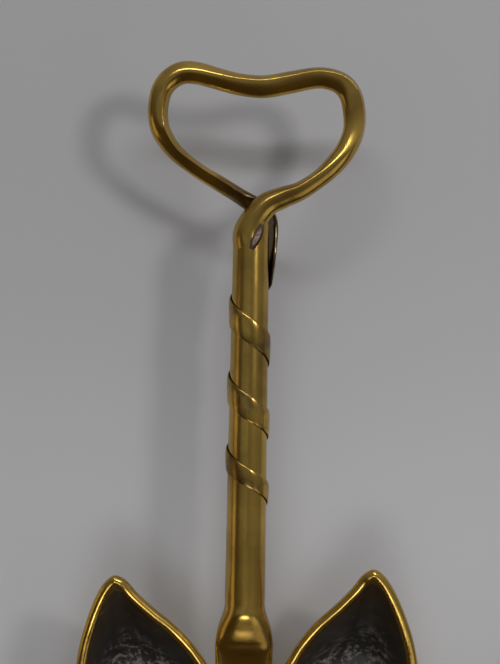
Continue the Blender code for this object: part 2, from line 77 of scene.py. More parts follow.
# the handle's own frame: y runs up the stem from its foot, and z out of its front
FOOT = Vector((-0.0008, NOTCH_Y + 0.0215, NOTCH_HEIGHT + 0.0080))
HANDLE_SWING = radians(-2.3)     # the handle points a little to the +X side
HANDLE_TILT = radians(-0.9)      # and its loop lies a little lower than its foot
HANDLE = (Matrix.Translation(FOOT) @ Matrix.Rotation(HANDLE_SWING, 4, "Z")
          @ Matrix.Rotation(HANDLE_TILT, 4, "X"))

LOOP_WIDTH = 0.090
LOOP_HEIGHT = 0.058
LOOP_BASE = STEM_LENGTH + 0.0085     # the heart's low point
BAR_DIAMETER = 0.0105
BAR_LOWER_WIDTH = 0.0083
ROOT_WIDTH = 0.0114
BAR_CORNERS = 36
RIDGE = 1.3                  # how far the bar's top is drawn to a ridge
LEAN_FROM = 0.4              # where the ridge is further in than this, the top leans to the lower left

BAND_WIDTH = 0.0106
BAND_END_WIDTH = 0.0070
BAND_THICKNESS = 0.0011
BAND_WEDGE = 0.35            # how much thicker the tail is along its upper edge
BAND_TOP = 0.142
BAND_PITCH = (0.0353, 0.0314)
BAND_START_TURN = -0.62
BAND_END_TURN = 0.42
BAND_NARROWING = 1.4         # turns over which the tail narrows to its end
BAND_ROUNDING = 0.05         # turns over which its end is rounded

SEAM_DROP = 0.009            # how far below the mouth the seam crosses the stem's -X side
SEAM_NORMAL = (-1.23, 1.0, 1.70)
PIT_X = 0.0028
PIT_Y = STEM_LENGTH - 0.0072
PIT_LENGTH = 0.0150
PIT_WIDTH = 0.0042
PIT_DEPTH = 0.0015
PIT_LEAN = radians(26.6)
FILLER_DROP = 0.55           # the filler's middle lies at this share of the pit's depth

RIVET_HEAD_RADIUS = 0.0043
RIVET_HEAD_HEIGHT = 0.0019
RIVET_SHANK = 0.53           # share of the head's radius
RIVET_CORNERS = 32

CLEAR = 0.0003               # touching pieces keep this gap, as in the frame
BAND_CLEAR = 0.0001          # the tail is hammered down tight on the stem
WALL_UP = Vector((0, NOTCH_LEAN, NOTCH_HEIGHT)).normalized()
WALL_OUT = Vector((0, WALL_UP.z, -WALL_UP.y))
WALL_FOOT = Vector((0, FLOOR_BACK_Y, 0))

# ---- colours ------------------------------------------------------------------------------------
RUBBED_BRASS = (0.62, 0.41, 0.095, 1)
BROWN_TARNISH = (0.20, 0.11, 0.03, 1)
# painted shade where the bar passes behind the stem, and dark blotches on its tail
DIRT_AND_PAINTED_SHADE = (0.10, 0.085, 0.07, 1)
SCORCHED_BRASS = (0.075, 0.040, 0.010, 1)
SOOT = (0.036, 0.033, 0.031, 1)
GREY_SOOT = (0.085, 0.078, 0.072, 1)
FLAKE_PALE = (0.36, 0.34, 0.32, 1)
BARE_BRASS = (0.40, 0.27, 0.07, 1)
FILLING = (0.55, 0.40, 0.36, 1)
# grime in the filling's cracks, and painted shade towards its edge
FILLING_GRIME_AND_PAINTED_SHADE = (0.07, 0.035, 0.018, 1)
FLOOR_GREY = (0.57, 0.575, 0.60, 1)
WARM_ROOM = (0.060, 0.043, 0.022, 1)
COOL_ROOM = (0.34, 0.35, 0.37, 1)


# ---- modelling helpers --------------------------------------------------------------------------
def deselect():
    if bpy.context.mode != "OBJECT":
        bpy.ops.object.mode_set(mode="OBJECT")
    bpy.ops.object.select_all(action="DESELECT")


def pick(obj):
    deselect()
    obj.select_set(True)
    bpy.context.view_layer.objects.active = obj


def grow(name, rings):
    """A closed skin: a disc set on the first ring, then its face extruded on to each next ring.

    Each vertex keeps its share of the way from the first ring to the last, as "along".
    """
    deselect()
    bpy.ops.mesh.primitive_circle_add(vertices=len(rings[0]), radius=0.01, fill_type="NGON")
    obj = bpy.context.active_object
    obj.name = obj.data.name = name
    bpy.ops.object.mode_set(mode="EDIT")
    bpy.ops.mesh.select_mode(type="FACE")
    bpy.ops.mesh.select_all(action="SELECT")
    mesh = bmesh.from_edit_mesh(obj.data)
    corner = mesh.verts.layers.int.new("corner")
    along = mesh.verts.layers.float.new("along")
    for k, vert in enumerate(mesh.verts):
        vert[corner] = k
        vert.co = rings[0][k]
    for step, ring in enumerate(rings[1:], 1):
        bpy.ops.mesh.extrude_region_move()
        mesh = bmesh.from_edit_mesh(obj.data)
        corner, along = mesh.verts.layers.int["corner"], mesh.verts.layers.float["along"]
        mesh.faces.ensure_lookup_table()
        face = next(face for face in reversed(mesh.faces) if face.select)
        for vert in face.verts:
            vert.co = ring[vert[corner]]
            vert[along] = step / (len(rings) - 1)
    mesh.verts.layers.int.remove(corner)
    bmesh.update_edit_mesh(obj.data)
    bpy.ops.mesh.select_all(action="SELECT")
    bpy.ops.mesh.normals_make_consistent(inside=False)
    bpy.ops.object.mode_set(mode="OBJECT")
    return obj


def smooth(obj, angle=35):
    pick(obj)
    bpy.ops.object.shade_smooth_by_angle(angle=radians(angle))


def cut(obj, cutter):
    """The cutter is taken from the piece, and then thrown away."""
    pick(obj)
    modifier = obj.modifiers.new(cutter.name, "BOOLEAN")
    modifier.operation = "DIFFERENCE"
    modifier.solver = "EXACT"
    modifier.object = cutter
    bpy.ops.object.modifier_apply(modifier=modifier.name)
    bpy.data.objects.remove(cutter, do_unlink=True)


def set_down(obj, place):
    """Moves the mesh, and not the object, to its place in the frame."""
    obj.data.transform(place)
    obj.data.update()


def catmull(points, steps, closed=False):
    """Points on a smooth curve through the given points, which may hold any numbers."""
    count = len(points)
    curve = []
    for i in range(count if closed else count - 1):
        if closed:
            p0, p1, p2, p3 = (points[(i + k) % count] for k in (-1, 0, 1, 2))
        else:
            p0, p1, p2, p3 = (points[min(max(i + k, 0), count - 1)] for k in (-1, 0, 1, 2))
        for s in range(steps):
            t = s / steps
            curve.append(tuple(
                0.5 * (2 * b + (c - a) * t + (2 * a - 5 * b + 4 * c - d) * t * t
                       + (3 * b - a - 3 * c + d) * t ** 3)
                for a, b, c, d in zip(p0, p1, p2, p3)))
    if not closed:
        curve.append(tuple(points[-1]))
    return curve


def oval(centre, across, through, half_width, half_thickness, corners,
         squareness=1.0, ridge=1.0, shift=0.0):
    """An oval section; squareness under 1 flattens its long faces.

    A ridge over squareness draws the top to a soft edge, which shift moves sideways.
    """
    ring = []
    for k in range(corners):
        angle = 2 * pi * k / corners
        c, s = cos(angle), sin(angle)
        x = abs(c) ** (ridge * squareness) * (1 if c >= 0 else -1)
        z = abs(s) ** squareness * (1 if s >= 0 else -1)
        x += shift * max(z, 0) ** 2 * (1 - abs(x))
        ring.append(centre + across * half_width * x + through * half_thickness * z)
    return ring


# ---- pan ----------------------------------------------------------------------------------------
# A row of the pan's outline is floor x, floor y, rim x, rim y, rim z and rim radius.
def back_rows():
    """From the middle of the notch to the +X ear, in shares of the way to its tip."""
    notch = PALM_WIDTH / 2 + NOTCH_MARGIN
    way = EAR_SPAN / 2 - notch
    rows = [(0, FLOOR_BACK_Y, 0, NOTCH_Y, NOTCH_HEIGHT, RIM_RADIUS),
            (0.55 * notch, FLOOR_BACK_Y, 0.55 * notch, NOTCH_Y, NOTCH_HEIGHT, RIM_RADIUS),
            (1.07 * notch, FLOOR_BACK_Y + 0.0015, notch, NOTCH_Y + 0.0015, NOTCH_HEIGHT, RIM_RADIUS)]
    for floor_x, floor_in, rim_x, rim_in, height in (
            (0.19, 0.13, 0.105, 0.19, 0.818),
            (0.36, 0.27, 0.23, 0.36, 0.843),
            (0.52, 0.36, 0.41, 0.54, 0.876),
            (0.67, 0.43, 0.61, 0.695, 0.920),
            (0.775, 0.467, 0.775, 0.84, 0.962),
            (0.86, 0.476, 0.885, 0.955, 0.990)):
        rows.append((notch + floor_x * way, FLOOR_BACK_Y + floor_in * NOTCH_DEPTH,
                     notch + rim_x * way, NOTCH_Y + rim_in * NOTCH_DEPTH,
                     height * EAR_HEIGHT, RIM_RADIUS))
    return rows


def corner_rows():
    """From the ear's tip round the corner, in shares of the way to the side and of the notch's depth."""
    ear = EAR_SPAN / 2
    way = PAN_HALF_WIDTH - ear
    rows = []
    for floor_x, floor_back, rim_x, rim_back, height in (
            (-0.075, 0.80, 0, 0, 1.0),
            (0.055, 0.84, 0.153, 0.057, 0.994),
            (0.186, 0.905, 0.30, 0.19, 0.975),
            (0.332, 1.01, 0.456, 0.41, 0.942),
            (0.44, 1.16, 0.593, 0.686, 0.896),
            (0.511, 1.43, 0.684, 1.067, 0.827)):
        rows.append((ear + floor_x * way, TIP_Y - floor_back * NOTCH_DEPTH,
                     ear + rim_x * way, TIP_Y - rim_back * NOTCH_DEPTH,
                     height * EAR_HEIGHT, RIM_RADIUS))
    return rows


def side_rows():
    """Along the side and round to the middle of the lip, in shares of the half width and of the length."""
    rows = []
    for floor_x, floor_back, rim_x, rim_back, height in (
            (0.856, 0.372, 0.920, 0.324, 0.750),
            (0.889, 0.504, 0.956, 0.484, 0.606),
            (0.917, 0.652, 0.987, 0.644, 0.452),
            (0.917, 0.776, 1.0, 0.784, 0.308),
            (0.883, 0.856, 0.978, 0.884, 0.202),
            (0.778, 0.908, 0.878, 0.948, 0.135),
            (0.589, 0.940, 0.667, 0.984, 0.096),
            (0.300, 0.954, 0.333, 0.998, 0.077)):
        radius = LIP_RADIUS + (RIM_RADIUS - LIP_RADIUS) * min(1, 1.6 * (1 - rim_back))
        rows.append((floor_x * PAN_HALF_WIDTH, TIP_Y - floor_back * PAN_LENGTH,
                     rim_x * PAN_HALF_WIDTH, TIP_Y - rim_back * PAN_LENGTH,
                     height * EAR_HEIGHT, radius))
    rows.append((0, TIP_Y - 0.958 * PAN_LENGTH, 0, TIP_Y - PAN_LENGTH, LIP_HEIGHT, LIP_RADIUS))
    return rows


def wall_curve(floor_edge, outward, rim, bends=9, rises=7):
    """Outer side of the wall: a curve out of the floor, then straight up to the rim."""
    rise = rim - floor_edge
    bend = min(FILLET, 0.45 * rise.length)
    start = floor_edge - outward * bend
    end = floor_edge + rise.normalized() * bend
    points = []
    for k in range(bends + 1):
        t = k / bends
        points.append(start * (1 - t) ** 2 + floor_edge * 2 * t * (1 - t) + end * t * t)
    for k in range(1, rises + 1):
        points.append(end.lerp(rim, k / rises))
    return points


def inner_wall(column, before, after):
    """Inner side of the wall, one wall thickness in from its outer side."""
    inner = []
    for k, point in enumerate(column):
        along = after[k] - before[k]
        up = column[min(k + 1, len(column) - 1)] - column[max(k - 1, 0)]
        normal = Vector((0, 0, 1)) if k == 0 else along.cross(up).normalized()
        inner.append(point + normal * PAN_WALL)
    return inner


def rim_bead(edge, up, inwards, radius, steps=14, sweep=196):
    """The thick rounded rim, from the wall's outer side over the top to its inner side."""
    middle = edge + inwards * radius
    bead = []
    for k in range(1, steps + 1):
        angle = radians(sweep * k / steps)
        bead.append(middle + radius * (up * sin(angle) - inwards * cos(angle)))
    return bead


def build_pan():
    half = back_rows() + corner_rows() + side_rows()
    mirrored = [(-floor_x, floor_y, -rim_x, rim_y, rim_z, radius)
                for floor_x, floor_y, rim_x, rim_y, rim_z, radius in half[-2:0:-1]]
    rows = catmull(half + mirrored, 5, closed=True)
    count = len(rows)
    outer = []
    for i, row in enumerate(rows):
        before, after = rows[i - 1], rows[(i + 1) % count]
        along = Vector((after[0] - before[0], after[1] - before[1], 0)).normalized()
        outward = Vector((-along.y, along.x, 0))
        outer.append(wall_curve(Vector((row[0], row[1], 0)), outward, Vector(row[2:5])))
    columns = []
    for i, column in enumerate(outer):
        inner = inner_wall(column, outer[i - 1], outer[(i + 1) % count])
        up = (column[-1] - column[-2]).normalized()
        inwards = (inner[-1] - column[-1]).normalized()
        rim = rim_bead(column[-1], up, inwards, rows[i][5])
        # the inner side stops just below the bead
        inner[-1] = column[-1].lerp(column[-2], 0.9) + inwards * PAN_WALL
        columns.append(column + rim + inner[::-1])
    pan = grow("scooped_pan", [[column[k] for column in columns] for k in range(len(columns[0]))])
    smooth(pan, angle=50)
    return pan


# ---- stem ---------------------------------------------------------------------------------------
def stem_radius(y):
    share = min(max(y / STEM_LENGTH, 0), 1)
    return STEM_FOOT_RADIUS + (STEM_TOP_RADIUS - STEM_FOOT_RADIUS) * share ** 1.3


def palm_line():
    """Middle of the palm's plate in the handle's own frame, from the rim down the back wall."""
    to_handle = HANDLE.inverted()
    points = []
    for share in (0.25, 0.6, 1.0):
        height = NOTCH_HEIGHT - PALM_DROP * share
        on_wall = WALL_FOOT + WALL_UP * (height / WALL_UP.z)
        on_wall.x = FOOT.x
        points.append(to_handle @ (on_wall + WALL_OUT * (PALM_THICKNESS / 2 + CLEAR)))
    return points


def stem_stations():
    """Rows of y, z, half width, half thickness and squareness, from the mouth to the palm's end."""
    straight = (STEM_LENGTH, 0.83 * STEM_LENGTH, 0.6 * STEM_LENGTH, 0.35 * STEM_LENGTH,
                0.18 * STEM_LENGTH, 0.021, 0.016)
    rows = [(y, 0, stem_radius(y), stem_radius(y), 1.0) for y in straight]
    wide, thick, narrow = FOOT_WIDTH / 2, FOOT_THICKNESS / 2, STEM_FOOT_RADIUS
    flare = wide - narrow
    rows += [(0.0115, 0, narrow + 0.25 * flare, narrow, 0.97),
             (0.0065, 0, narrow + 0.68 * flare, 0.5 * (narrow + thick), 0.94),
             (0.0005, -0.0003, narrow + 0.95 * flare, thick, 0.9),
             (-0.0050, -0.0020, wide, 0.82 * thick, 0.86)]
    plate = palm_line()
    bend = plate[0] + Vector((0, 0.0035, 0.0062))
    rows.append((bend.y, bend.z, 0.96 * wide, 0.62 * thick, 0.82))
    for point, share in zip(plate, (1.0, 0.98, 0.82)):
        rows.append((point.y, point.z, share * PALM_WIDTH / 2, PALM_THICKNESS / 2, 0.6))
    return rows


def slant_mouth(stem):
    """Cuts the stem's mouth on the slant, along the seam with the bar."""
    pick(stem)
    bpy.ops.object.mode_set(mode="EDIT")
    bpy.ops.mesh.select_all(action="SELECT")
    bpy.ops.mesh.bisect(plane_co=(-STEM_TOP_RADIUS, STEM_LENGTH - SEAM_DROP, 0), plane_no=SEAM_NORMAL,
                        use_fill=True, clear_outer=True)
    bpy.ops.object.mode_set(mode="OBJECT")


def build_stem():
    rows = catmull(stem_stations(), 8)
    across = Vector((1, 0, 0))
    rings = []
    for i, (y, z, half_width, half_thickness, squareness) in enumerate(rows):
        before, after = rows[max(i - 1, 0)], rows[min(i + 1, len(rows) - 1)]
        along = Vector((0, after[0] - before[0], after[1] - before[1])).normalized()
        rings.append(oval(Vector((0, y, z)), across, across.cross(along),
                          half_width, half_thickness, STEM_CORNERS, squareness))
    stem = grow("stem", rings)
    slant_mouth(stem)
    cut(stem, pit_lens("pit", PIT_WIDTH / 2, PIT_LENGTH / 2, PIT_DEPTH, 0))
    set_down(stem, HANDLE)
    smooth(stem)
    return stem


# ---- bar ----------------------------------------------------------------------------------------
# A row along the bar is x, y, z, width, depth, the way its top faces, squareness, ridge and shift.
def root_rows():
    """The bar's root, flush with the stem, then turning out of its mouth."""
    full = 2 * STEM_TOP_RADIUS
    return [(0, STEM_LENGTH - 0.020, 0, 0.96 * full, 0.96 * full, 0, 0, 1, 1.0, 1, 0),
            (0, STEM_LENGTH - 0.0125, 0, 0.99 * full, 0.99 * full, 0, 0, 1, 1.0, 1, 0),
            (-0.0010, STEM_LENGTH - 0.004, 0.0010, 0.0140, 0.0142, 0, 0, 1, 0.97, 1, 0)]


def heart_rows():
    """The heart from the stem up the right, over the top and down the left.

    Each place is x as a share of the loop's half width, y as a share of its height above the heart's low
    point, z, width, depth and the ridge's shift. The ridge lies a little inside at the lower right, outside
    up the right and over the top, and crosses to the inner side again down the left.
    """
    half = LOOP_WIDTH / 2
    thick, lower, root = BAR_DIAMETER, BAR_LOWER_WIDTH, ROOT_WIDTH
    rows = []
    for x, y, z, wide, deep, shift in (
            (0.130, -0.028, 0.0030, root, 0.0104, -0.1),
            (0.32, 0.048, 0.0032, 0.0100, 0.0100, -0.35),
            (0.49, 0.100, 0.0030, 0.0087, 0.0098, -0.45),
            (0.685, 0.203, 0.0024, lower, 0.0096, -0.4),
            (0.835, 0.315, 0.0018, 0.875 * thick, 0.0096, -0.1),
            (0.952, 0.437, 0.0012, 0.90 * thick, thick, 0.35),
            (1.027, 0.58, 0.0006, 0.94 * thick, thick, 0.75),
            (1.035, 0.725, 0, thick, thick, 0.75),
            (0.995, 0.87, 0, thick, thick, 0.7),
            (0.90, 0.962, 0, 0.98 * thick, thick, 0.6),
            (0.75, 1.003, 0, 0.94 * thick, thick, 0.5),
            (0.60, 1.003, 0, 0.94 * thick, thick, 0.5),
            (0.36, 0.965, 0, 0.98 * thick, thick, 0.45),
            (0.10, 0.93, 0, thick, thick, 0.45),
            (-0.15, 0.945, 0, 0.97 * thick, thick, 0.4),
            (-0.36, 0.985, -0.0002, 0.95 * thick, thick, 0.25),
            (-0.57, 1.028, -0.0006, 0.98 * thick, thick, 0.1),
            (-0.73, 1.032, -0.0010, thick, thick, 0),
            (-0.86, 0.978, -0.0014, 0.98 * thick, thick, -0.1),
            (-0.94, 0.893, -0.0018, 0.94 * thick, thick, -0.2),
            (-0.975, 0.77, -0.0024, 0.90 * thick, thick, -0.4),
            (-0.972, 0.65, -0.0030, 0.87 * thick, thick, -0.6),
            (-0.925, 0.54, -0.0036, 0.83 * thick, 0.0098, -0.8),
            (-0.795, 0.405, -0.0046, 0.0076, 0.0088, -0.9)):
        lean = max(0, -shift - LEAN_FROM)
        rows.append((x * half, LOOP_BASE + y * LOOP_HEIGHT, z, wide, deep,
                     -0.5 * lean, -0.8 * lean, 1, 0.92, RIDGE, shift))
    return rows


def band_angle(turn):
    return pi / 2 - 2 * pi * turn


def band_height(turn):
    """Height of the tail's middle above the foot point, by turns from its first front crossing."""
    first, second = BAND_PITCH
    if turn < 1:
        return BAND_TOP - first * turn
    return BAND_TOP - first - second * (turn - 1)


def lead_rows():
    """The bar past the heart's low point, hammered flat and laid beside the stem."""
    half = LOOP_WIDTH / 2
    beside = STEM_TOP_RADIUS + CLEAR
    start = band_height(BAND_START_TURN)
    return [(-0.56 * half, LOOP_BASE + 0.265 * LOOP_HEIGHT, -0.0058, 0.0068, 0.0074,
             -0.20, -0.30, 0.93, 0.8, RIDGE, -0.9),
            (-0.35 * half, LOOP_BASE + 0.17 * LOOP_HEIGHT, -0.0070, 0.0074, 0.0056,
             -0.28, -0.42, 0.86, 0.75, RIDGE, -0.9),
            (-0.13 * half, LOOP_BASE + 0.07 * LOOP_HEIGHT, -0.0088, 0.0080, 0.0042,
             -0.34, -0.51, 0.79, 0.65, RIDGE, -0.8),
            (0.0045, STEM_LENGTH + 0.0062, -0.0118, 0.0092, 0.0032,
             -0.35, -0.25, 0.90, 0.55, 1, 0),
            (beside + 0.0010, STEM_LENGTH - 0.0010, -0.0074, 0.0092, 0.0024,
             -0.80, -0.2, 0.56, 0.55, 1, 0),
            (beside + 0.0007, start + 0.0125, -0.0044, 0.0100, 0.0018,
             -0.91, 0, 0.40, 0.55, 1, 0)]


def wound_rows(steps=150):
    """The tail wound on the stem."""
    last = len(BAND_PITCH) + BAND_END_TURN
    rows = []
    for k in range(steps + 1):
        turn = BAND_START_TURN + (last - BAND_START_TURN) * k / steps
        angle, y = band_angle(turn), band_height(turn)
        reach = stem_radius(y) + BAND_CLEAR + BAND_THICKNESS / 2
        width = BAND_END_WIDTH + (BAND_WIDTH - BAND_END_WIDTH) * min(1, (last - turn) / BAND_NARROWING)
        tip = min(1, (last - turn) / BAND_ROUNDING)
        width *= 0.45 + 0.55 * sqrt(1 - (1 - tip) ** 2)
        rows.append((reach * cos(angle), y, reach * sin(angle), width, BAND_THICKNESS,
                     -cos(angle), 0, -sin(angle), 0.75, 1, 0))
    return rows


def bar_rings(rows, wound_from):
    """Sections along the bar; from the given row on, they are bent round the stem."""
    rings = []
    for i, row in enumerate(rows):
        before, after = rows[max(i - 1, 0)], rows[min(i + 1, len(rows) - 1)]
        centre = Vector(row[:3])
        along = (Vector(after[:3]) - Vector(before[:3])).normalized()
        face = Vector(row[5:8])
        through = (face - along * face.dot(along)).normalized()
        across = along.cross(through)
        ring = oval(centre, across, through, row[3] / 2, row[4] / 2, BAR_CORNERS, *row[8:])
        if i >= wound_from:
            ring = [wrap_point(point, (point - centre).dot(through), (point - centre).dot(across) / row[3])
                    for point in ring]
        rings.append(ring)
    return rings


def wrap_point(point, inward, up):
    """Bends a flat section round the stem, with an even gap inside and a thicker upper edge outside."""
    if inward < 0:
        inward *= 1 + 2 * BAND_WEDGE * up
    reach = stem_radius(point.y) + BAND_CLEAR + BAND_THICKNESS / 2 - inward
    angle = atan2(point.z, point.x)
    return Vector((reach * cos(angle), point.y, reach * sin(angle)))


def build_bar():
    wound = wound_rows()
    free = catmull(root_rows() + heart_rows() + lead_rows() + wound[:1], 6)
    bar = grow("bar", bar_rings(free + wound[1:], len(free) - 1))
    cut(bar, pit_lens("pit", PIT_WIDTH / 2, PIT_LENGTH / 2, PIT_DEPTH, 0))
    set_down(bar, HANDLE)
    smooth(bar)
    return bar


# ---- pit and filler -----------------------------------------------------------------------------
def pit_frame():
    """On the stem's front, across the seam, with z out of the surface."""
    angle = asin(PIT_X / STEM_TOP_RADIUS)
    turn = Matrix.Rotation(angle, 4, "Y") @ Matrix.Rotation(-PIT_LEAN, 4, "Z")
    return Matrix.Translation((PIT_X, PIT_Y, STEM_TOP_RADIUS * cos(angle))) @ turn


def pit_lens(name, half_width, half_length, half_depth, drop):
    """A lens-shaped solid in the pit's frame, its middle the given drop under the surface."""
    deselect()
    bpy.ops.mesh.primitive_uv_sphere_add(segments=40, ring_count=24, radius=1)
    lens = bpy.context.active_object
    lens.name = lens.data.name = name
    size = Matrix.Diagonal((half_width, half_length, half_depth, 1))
    set_down(lens, pit_frame() @ Matrix.Translation((0, 0, -drop)) @ size)
    return lens


def build_filler():
    """A lens in the pit's lower part, as wide as the pit is at that depth."""
    share = sqrt(1 - FILLER_DROP ** 2)
    filler = pit_lens("filler", share * PIT_WIDTH / 2, share * PIT_LENGTH / 2,
                      (1 - FILLER_DROP) * PIT_DEPTH, FILLER_DROP * PIT_DEPTH)
    set_down(filler, HANDLE)
    smooth(filler)
    return filler


# ---- rivets -------------------------------------------------------------------------------------
def build_rivet(name, node):
    """A round-headed rivet through palm and back wall, at its node's place."""
    low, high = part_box(node)
    middle = (low + high) / 2
    outer = PALM_THICKNESS + 3 * CLEAR
    inner = -(PAN_WALL + CLEAR)
    centre = (outer + inner) / 2
    side = Vector((1, 0, 0))
    up = WALL_OUT.cross(side)
    dome = [(RIVET_HEAD_RADIUS * sin(radians(angle)), RIVET_HEAD_HEIGHT * cos(radians(angle)))
            for angle in (6, 20, 35, 50, 65, 80, 90)]
    shank = RIVET_SHANK * RIVET_HEAD_RADIUS
    profile = [(radius, inner - height) for radius, height in dome]
    profile += [(shank, inner), (shank, outer)]
    profile += [(radius, outer + height) for radius, height in reversed(dome)]
    rings = [oval(middle + WALL_OUT * (height - centre), side, up, radius, radius, RIVET_CORNERS)
             for radius, height in profile]
    rivet = grow(name, rings)
    smooth(rivet)
    return rivet


# ---- finishes -----------------------------------------------------------------------------------
def new_group(name, inputs, outputs):
    """An empty shader group; inputs are rows of name, kind and value, outputs of name and kind."""
    group = bpy.data.node_groups.new(name, "ShaderNodeTree")
    for label, kind, value in inputs:
        socket = group.interface.new_socket(name=label, in_out="INPUT", socket_type="NodeSocket" + kind)
        socket.default_value = value
    for label, kind in outputs:
        group.interface.new_socket(name=label, in_out="OUTPUT", socket_type="NodeSocket" + kind)
    return group, group.nodes.new("NodeGroupInput"), group.nodes.new("NodeGroupOutput")


def add(tree, kind, values=None, **settings):
    """A node with its settings, and with socket values or links by socket name."""
    node = tree.nodes.new("ShaderNode" + kind)
    for key, value in settings.items():
        setattr(node, key, value)
    for key, value in (values or {}).items():
        if isinstance(value, bpy.types.NodeSocket):
            tree.links.new(value, node.inputs[key])
        else:
            node.inputs[key].default_value = value
    return node


def noise(tree, coordinates, scale, detail=3.0, roughness=0.5):
    made = add(tree, "TexNoise", {"Vector": coordinates, "Scale": scale,
                                  "Detail": detail, "Roughness": roughness})
    return made.outputs["Fac"]


def between(tree, value, low, high, to_low=0.0, to_high=1.0):
    """The value spread from low..high to to_low..to_high, and clamped."""
    made = add(tree, "MapRange", {"Value": value, "From Min": low, "From Max": high,
                                  "To Min": to_low, "To Max": to_high})
    return made.outputs["Result"]


def maths(tree, operation, a, b):
    made = add(tree, "Math", {0: a, 1: b}, operation=operation)
    return made.outputs[0]


def blend_colours(tree, mask, low, high):
    made = add(tree, "Mix", {"Factor": mask}, data_type="RGBA")
    for socket, colour in ((made.inputs[6], low), (made.inputs[7], high)):
        if isinstance(colour, bpy.types.NodeSocket):
            tree.links.new(colour, socket)
        else:
            socket.default_value = colour
    return made.outputs[2]


def make_tarnish():
    """Cloudy brown tarnish with dark specks over rubbed brass."""
    group, start, end = new_group(
        "tarnish",
        [("Cloud Scale", "Float", 40.0), ("Amount", "Float", 0.5), ("Specks", "Float", 0.5),
         ("Clean", "Color", RUBBED_BRASS), ("Brown", "Color", BROWN_TARNISH)],
        [("Color", "Color"), ("Mask", "Float")])
    place = add(group, "TexCoord").outputs["Object"]
    clouds = noise(group, place, start.outputs["Cloud Scale"], 5, 0.6)
    clouds = between(group, clouds, 0.35, 0.72)
    clouds = maths(group, "MULTIPLY", clouds, start.outputs["Amount"])
    specks = between(group, noise(group, place, 700, 2, 0.5), 0.70, 0.78)
    specks = maths(group, "MULTIPLY", specks, start.outputs["Specks"])
    mask = maths(group, "MAXIMUM", clouds, specks)
    group.links.new(blend_colours(group, mask, start.outputs["Clean"], start.outputs["Brown"]),
                    end.inputs["Color"])
    group.links.new(mask, end.inputs["Mask"])
    return group


def make_handwork():
    """Height of the slow waves that hand finishing leaves, and of fine rubbing scratches."""
    group, start, end = new_group(
        "handwork",
        [("Waves", "Float", 1.0), ("Scratches", "Float", 1.0)],
        [("Height", "Float")])
    place = add(group, "TexCoord").outputs["Object"]
    waves = maths(group, "MULTIPLY", noise(group, place, 70, 1, 0.4), start.outputs["Waves"])
    lengthwise = add(group, "Mapping", {"Vector": place, "Scale": (1800, 160, 1800)}).outputs["Vector"]
    scratches = maths(group, "MULTIPLY", noise(group, lengthwise, 1, 2, 0.6), start.outputs["Scratches"])
    group.links.new(maths(group, "ADD", waves, maths(group, "MULTIPLY", scratches, 0.03)),
                    end.inputs["Height"])
    return group


def use_group(tree, group, values):
    made = tree.nodes.new("ShaderNodeGroup")
    made.name = group.name
    made.node_tree = group
    for key, value in values.items():
        made.inputs[key].default_value = value
    return made


def brass_finish(name, tarnish, handwork, values, waves, scratches, rough):
    """Old polished brass; rough is the roughness where rubbed and where tarnished."""
    material = bpy.data.materials.new(name)
    material.use_nodes = True
    tree = material.node_tree
    shader = tree.nodes["Principled BSDF"]
    shader.inputs["Metallic"].default_value = 1.0
    dulled = use_group(tree, tarnish, values)
    tree.links.new(dulled.outputs["Color"], shader.inputs["Base Color"])
    tree.links.new(between(tree, dulled.outputs["Mask"], 0, 1, *rough), shader.inputs["Roughness"])
    worked = use_group(tree, handwork, {"Waves": waves, "Scratches": scratches})
    bump = add(tree, "Bump", {"Strength": 1.0, "Distance": 0.001, "Height": worked.outputs["Height"]})
    tree.links.new(bump.outputs["Normal"], shader.inputs["Normal"])
    return material


def bar_finish(tarnish, handwork):
    """Brass blackened with painted shade where the bar passes behind the stem, and blotchy on its tail."""
    material = brass_finish("bar_brass", tarnish, handwork, {}, 0.12, 1.0, (0.16, 0.29))
    tree = material.node_tree
    shader = tree.nodes["Principled BSDF"]
    along = add(tree, "Attribute", attribute_name="along").outputs["Fac"]
    place = add(tree, "TexCoord").outputs["Object"]
    tree.links.new(between(tree, along, 0.55, 0.60, 0.7, 1.0), tree.nodes["tarnish"].inputs["Amount"])
    # painted shade: the bar is darkened where it passes behind the stem
    painted_shade_behind_stem = maths(tree, "MULTIPLY", between(tree, along, 0.475, 0.505), between(tree, along, 0.60, 0.58))
    tail = between(tree, along, 0.56, 0.60)
    blotches = between(tree, noise(tree, place, 110, 4, 0.65), 0.47, 0.66)
    on_tail = maths(tree, "MULTIPLY", maths(tree, "MULTIPLY", tail, blotches), 0.65)
    dirt_and_painted_shade = maths(tree, "MAXIMUM", maths(tree, "MULTIPLY", painted_shade_behind_stem, 0.85), on_tail)
    clean = shader.inputs["Base Color"].links[0].from_socket
    tree.links.new(blend_colours(tree, dirt_and_painted_shade, clean, DIRT_AND_PAINTED_SHADE), shader.inputs["Base Color"])
    return material


def low_flake_mask(tree, place, ragged):
    """Pale flakes that thicken towards the pan's floor."""
    height = add(tree, "SeparateXYZ", {"Vector": place}).outputs["Z"]
    low = between(tree, maths(tree, "ADD", height, maths(tree, "MULTIPLY", ragged, 0.012)), 0.030, 0.012)
    flakes = between(tree, noise(tree, place, 260, 6, 0.75), 0.50, 0.60)
    return maths(tree, "MULTIPLY", low, flakes)


def soot_colour(tree, place, depth, pale_flakes, bare):
    """Scorched brass, then black soot with grey clouds, with pale flakes and bare patches over it."""
    charred = between(tree, depth, 0.66, 0.76)
    soot = blend_colours(tree, charred, SCORCHED_BRASS, SOOT)
    grey = between(tree, noise(tree, place, 55, 5, 0.65), 0.45, 0.70)
    soot = blend_colours(tree, maths(tree, "MULTIPLY", grey, 0.5), soot, GREY_SOOT)
    soot = blend_colours(tree, pale_flakes, soot, FLAKE_PALE)
    return blend_colours(tree, bare, soot, BARE_BRASS)


